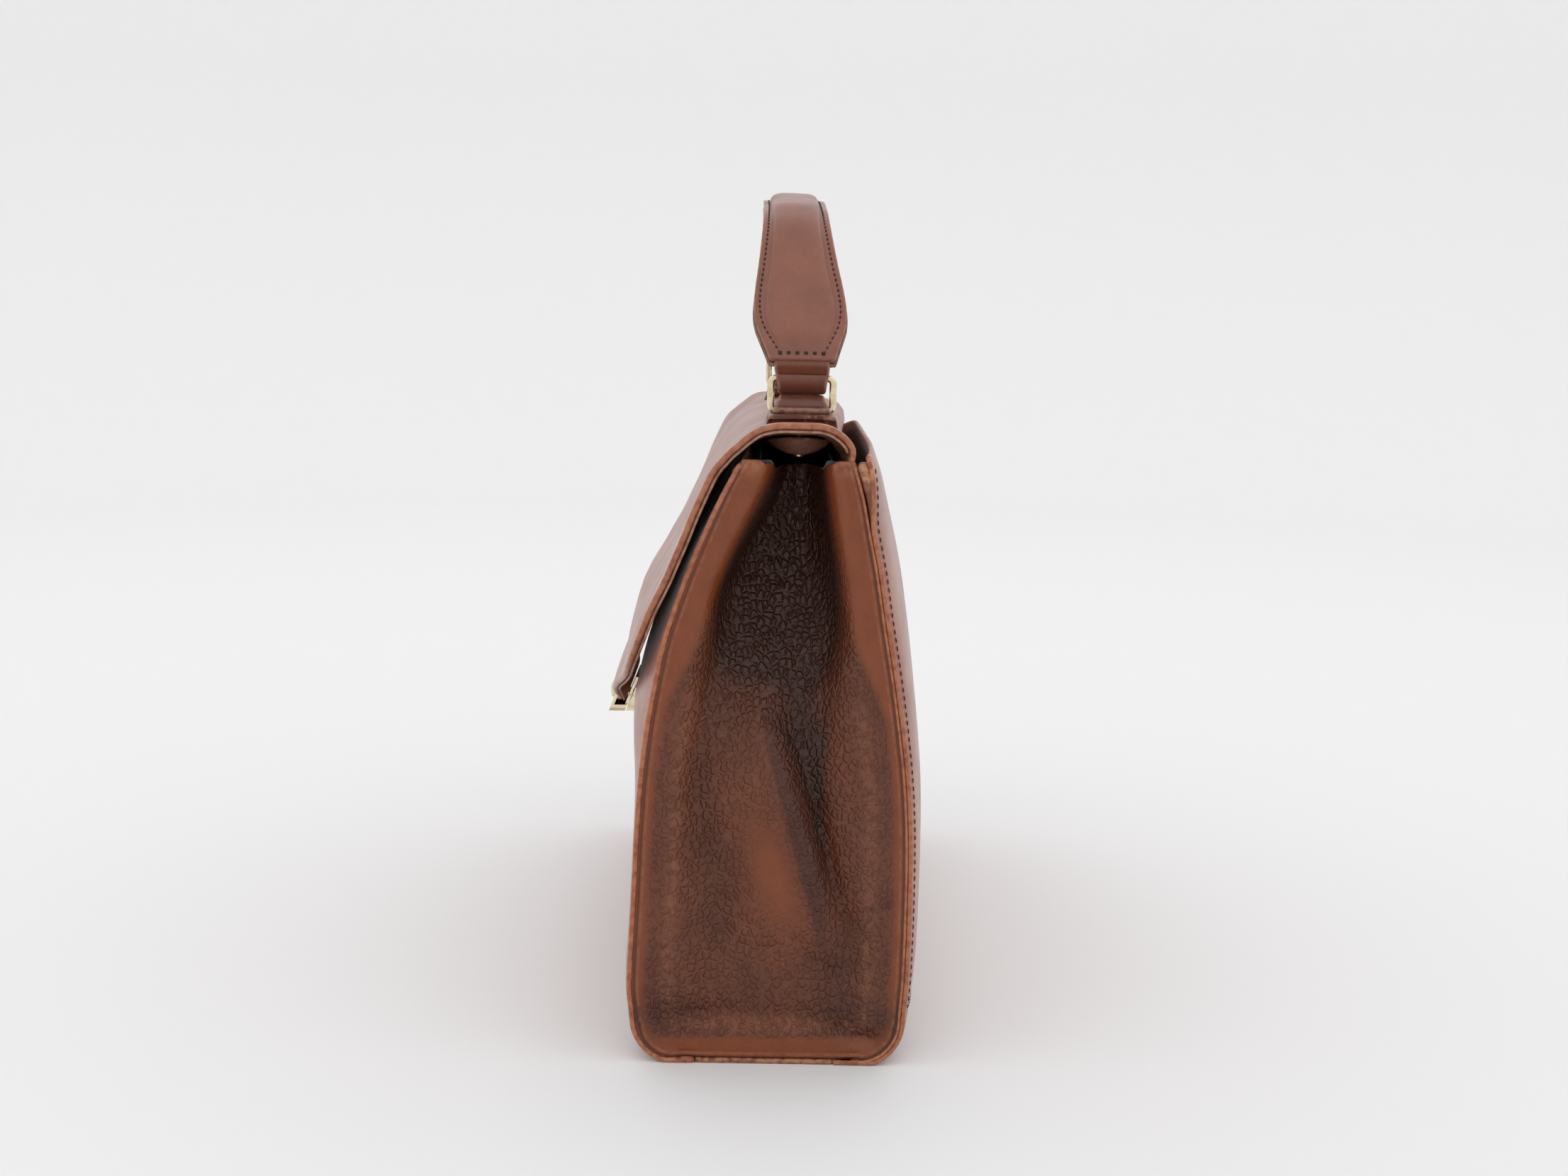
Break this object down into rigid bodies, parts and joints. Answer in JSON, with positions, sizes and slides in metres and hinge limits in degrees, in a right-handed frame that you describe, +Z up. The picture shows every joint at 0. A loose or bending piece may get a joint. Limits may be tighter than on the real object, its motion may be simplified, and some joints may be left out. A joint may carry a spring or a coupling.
{
  "type": "flap-over briefcase",
  "caption": "Leather flap-over briefcase with a leaning gusseted case, back slip pocket, ringed top handle and a turn clasp in front.",
  "frame": {"origin": "middle of the base, on the surface that the case stands on", "axes": "X along the case, -Y to the front where the flap and clasp are, +Z up"},
  "size_m": [0.38, 0.1475, 0.38],
  "materials": {
    "grained_leather": "satin",
    "pebbled_leather": "satin",
    "smooth_leather": "satin",
    "flap_lining_leather": "matte",
    "lining_cloth": "matte",
    "board": "matte",
    "filler": "matte",
    "gold_plate": "polished"
  },
  "bodies": {
    "case": {"front_panel": "grained_leather", "back_panel": "grained_leather", "base_panel": "grained_leather", "front_board": "board", "back_board": "board", "base_board": "board", "front_lining": "lining_cloth", "back_lining": "lining_cloth", "base_lining": "lining_cloth", "gusset_left": "pebbled_leather", "gusset_right": "pebbled_leather", "gusset_lining_left": "lining_cloth", "gusset_lining_right": "lining_cloth", "pocket_panel": "grained_leather", "pocket_lining": "lining_cloth", "lock_body": "gold_plate", "lock_plate": "gold_plate", "lock_backing_plate": "gold_plate", "lock_rivets": "gold_plate"},
    "flap": {"flap_leather": "grained_leather", "flap_board": "board", "flap_lining": "flap_lining_leather", "crown_bar": "flap_lining_leather", "tab_rivets": "gold_plate", "ring_tab_left": "smooth_leather", "ring_tab_right": "smooth_leather", "clasp_front_plate": "gold_plate", "clasp_back_plate": "gold_plate"},
    "ring_left": {"ring_left": "gold_plate"},
    "ring_right": {"ring_right": "gold_plate"},
    "handle": {"handle_sole": "smooth_leather", "handle_filler": "filler", "handle_cover": "smooth_leather", "handle_loop_left": "smooth_leather", "handle_loop_right": "smooth_leather"},
    "knob": {"clasp_knob": "gold_plate"}
  },
  "joints": [
    {"name": "flap_hinge", "type": "hinge", "parent": "case", "child": "flap", "pos_m": [0, 0.02885, 0.2615], "axis": [-1, 0, 0], "range_deg": [0, 115]},
    {"name": "ring_left_tilt", "type": "hinge", "parent": "flap", "child": "ring_left", "pos_m": [-0.122, 0.0103, 0.2792], "axis": [0, 1, 0], "range_deg": [-50, 50]},
    {"name": "handle_level", "type": "hinge", "parent": "ring_left", "child": "handle", "pos_m": [-0.122, 0.0103, 0.2938], "axis": [0, 1, 0], "range_deg": [-50, 50]},
    {"name": "ring_right_tilt", "type": "hinge", "parent": "flap", "child": "ring_right", "pos_m": [0.122, 0.0103, 0.2792], "axis": [0, 1, 0], "range_deg": [-50, 50]},
    {"name": "knob_turn", "type": "hinge", "parent": "flap", "child": "knob", "pos_m": [0, -0.0773, 0.1273], "axis": [0, -0.9298, 0.3681], "range_deg": [0, 90]}
  ],
  "couplings": [
    {"joint": "handle_level", "follows": "ring_left_tilt", "ratio": -1},
    {"joint": "ring_right_tilt", "follows": "ring_left_tilt", "ratio": 1}
  ]
}
